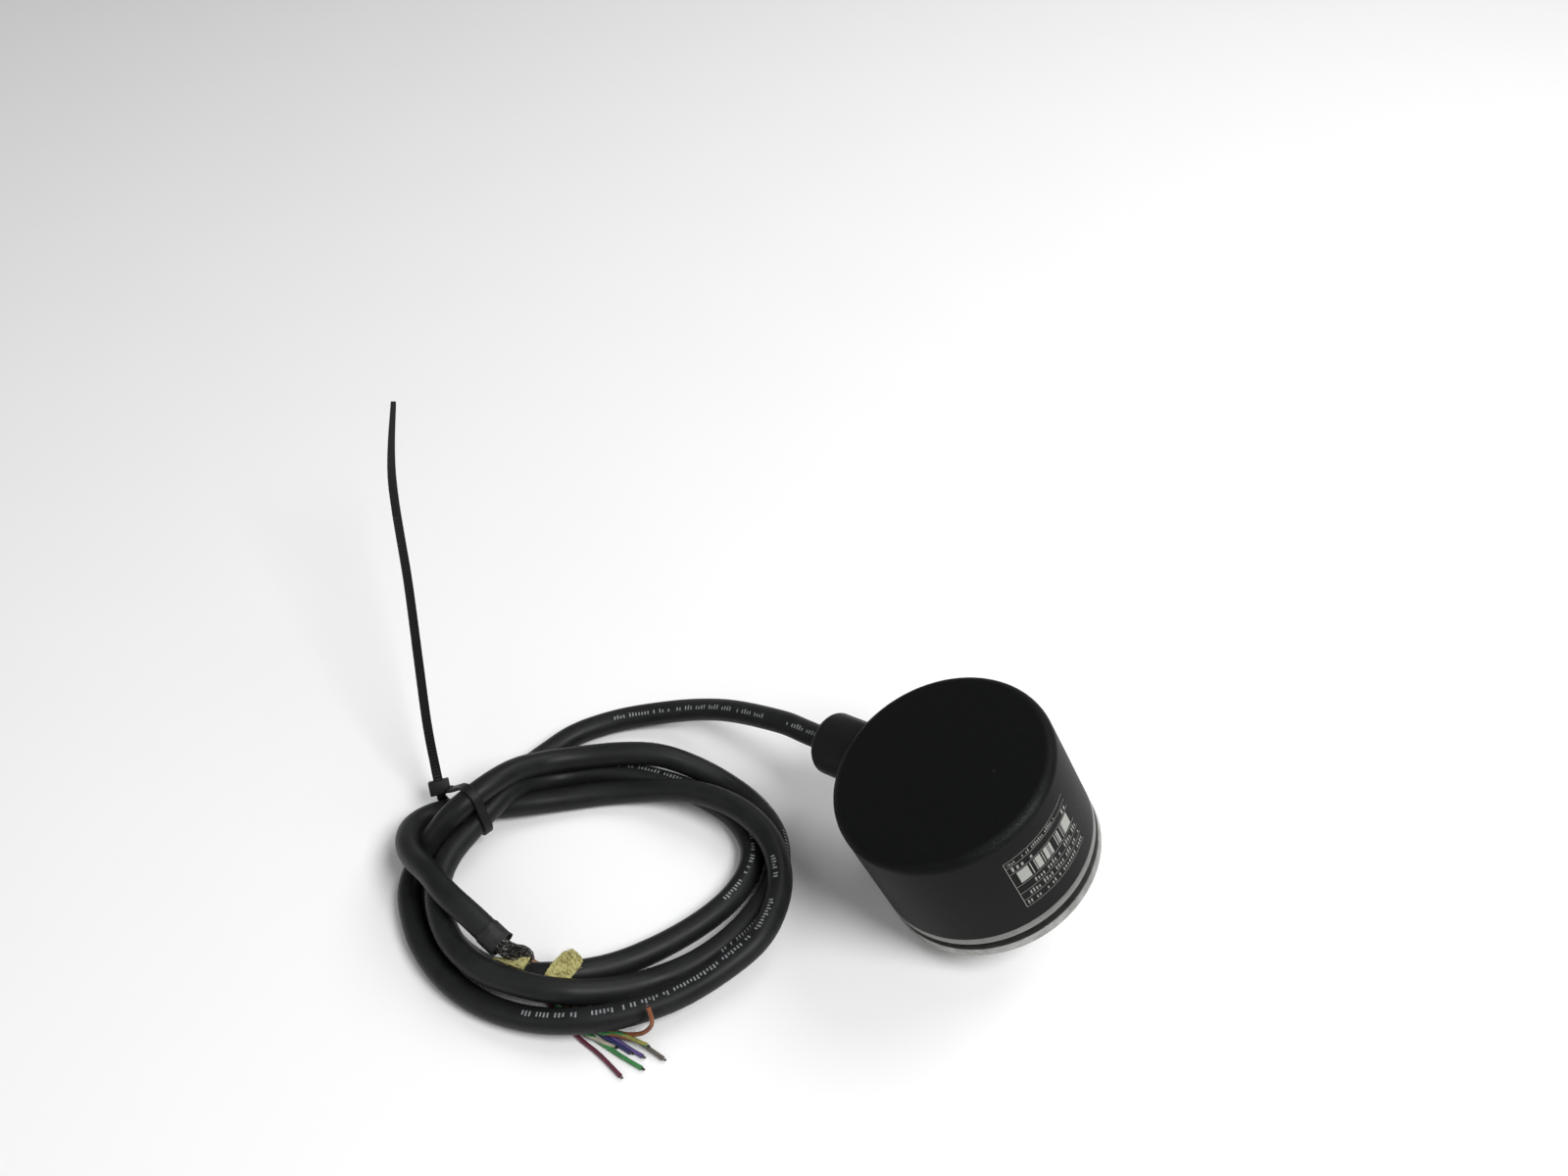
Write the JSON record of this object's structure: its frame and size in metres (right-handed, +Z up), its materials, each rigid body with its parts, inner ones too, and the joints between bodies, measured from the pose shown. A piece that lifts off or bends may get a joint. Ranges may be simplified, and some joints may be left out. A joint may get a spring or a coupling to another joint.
{
  "type": "rotary encoder",
  "caption": "Incremental rotary encoder: round black housing on a grooved aluminium flange, solid shaft, moulded side outlet and a coiled, tied cable with stripped leads.",
  "frame": {"origin": "on the surface the encoder lies on, under the middle of the encoder's own box (housing, shaft and outlet, without the cable)", "axes": "+Z up; +X away from the coil, in the plane in which the shaft leans; +Y away from the side the stripped end is on. The shaft's axis leans 24.4 degrees from +Z towards -X, because the encoder rests on its collar and shaft end"},
  "size_m": [0.1972, 0.1782, 0.0686],
  "materials": {
    "machined_aluminium": "fine-turned, bare",
    "black_housing": "matte black coat over cast aluminium",
    "ground_steel": "ground",
    "polished_balls": "polished",
    "spring_steel": "rolled",
    "plated_steel": "zinc plated",
    "dark_screw": "black oxide",
    "turned_brass": "turned",
    "seal_rubber": "moulded",
    "coded_glass": "clear with a chrome pattern",
    "lens_glass": "clear",
    "lamp_resin": "clear tinted resin",
    "holder_plastic": "moulded",
    "chip_black": "moulded epoxy",
    "board_green": "solder mask",
    "solder_parts": "ceramic and tinned ends",
    "connector_nylon": "moulded nylon",
    "outlet_plastic": "moulded",
    "cable_jacket": "satin polyurethane with a light printed legend of plain dashes",
    "heat_shrink": "satin",
    "braid_copper": "tinned copper braid",
    "fleece_yellow": "loose fleece tape",
    "lead_colours": "PVC in several colours",
    "tie_nylon": "moulded nylon"
  },
  "bodies": {
    "housing": {"flange": "machined_aluminium", "cap": "black_housing", "cap_o_ring": "seal_rubber", "shaft_seal": "seal_rubber", "front_outer_race": "ground_steel", "rear_outer_race": "ground_steel", "outer_spacer": "machined_aluminium", "wave_spring": "spring_steel", "bore_circlip": "spring_steel", "lamp_holder": "holder_plastic", "holder_screws": "plated_steel", "lamp": "lamp_resin", "condenser_lens": "lens_glass", "reticle": "coded_glass", "reticle_frame": "holder_plastic", "photo_sensor": "chip_black", "board": "board_green", "board_posts": "turned_brass", "board_screws": "plated_steel", "chips": "chip_black", "board_smalls": "solder_parts", "board_socket": "connector_nylon", "board_plug": "connector_nylon", "outlet": "outlet_plastic", "outlet_nut": "plated_steel", "outlet_grommet": "seal_rubber", "crimp_sleeve": "spring_steel", "cable_entry": "cable_jacket", "cable": "cable_jacket", "jacket_collar": "heat_shrink", "braid": "braid_copper", "fleece": "fleece_yellow", "conductors": "lead_colours", "tie_strap": "tie_nylon", "tie_head": "tie_nylon"},
    "rotor": {"shaft": "ground_steel", "front_inner_race": "ground_steel", "rear_inner_race": "ground_steel", "inner_spacer": "ground_steel", "disk_hub": "turned_brass", "hub_screws": "dark_screw", "code_disk": "coded_glass", "disk_clamp": "machined_aluminium"},
    "front_bearing_balls": {"front_balls": "polished_balls", "front_cage": "turned_brass"},
    "rear_bearing_balls": {"rear_balls": "polished_balls", "rear_cage": "turned_brass"}
  },
  "joints": [
    {"name": "shaft_spin", "type": "hinge", "parent": "housing", "child": "rotor", "pos_m": [0.01068, -0.00227, 0.01295], "axis": [-0.4138, 0, 0.9104], "continuous": true},
    {"name": "front_balls_spin", "type": "hinge", "parent": "housing", "child": "front_bearing_balls", "pos_m": [0.00882, -0.00227, 0.01705], "axis": [-0.4138, 0, 0.9104], "continuous": true},
    {"name": "rear_balls_spin", "type": "hinge", "parent": "housing", "child": "rear_bearing_balls", "pos_m": [0.00344, -0.00227, 0.02888], "axis": [-0.4138, 0, 0.9104], "continuous": true}
  ],
  "couplings": [
    {"joint": "front_balls_spin", "follows": "shaft_spin", "ratio": 0.36707},
    {"joint": "rear_balls_spin", "follows": "shaft_spin", "ratio": 0.36707}
  ]
}
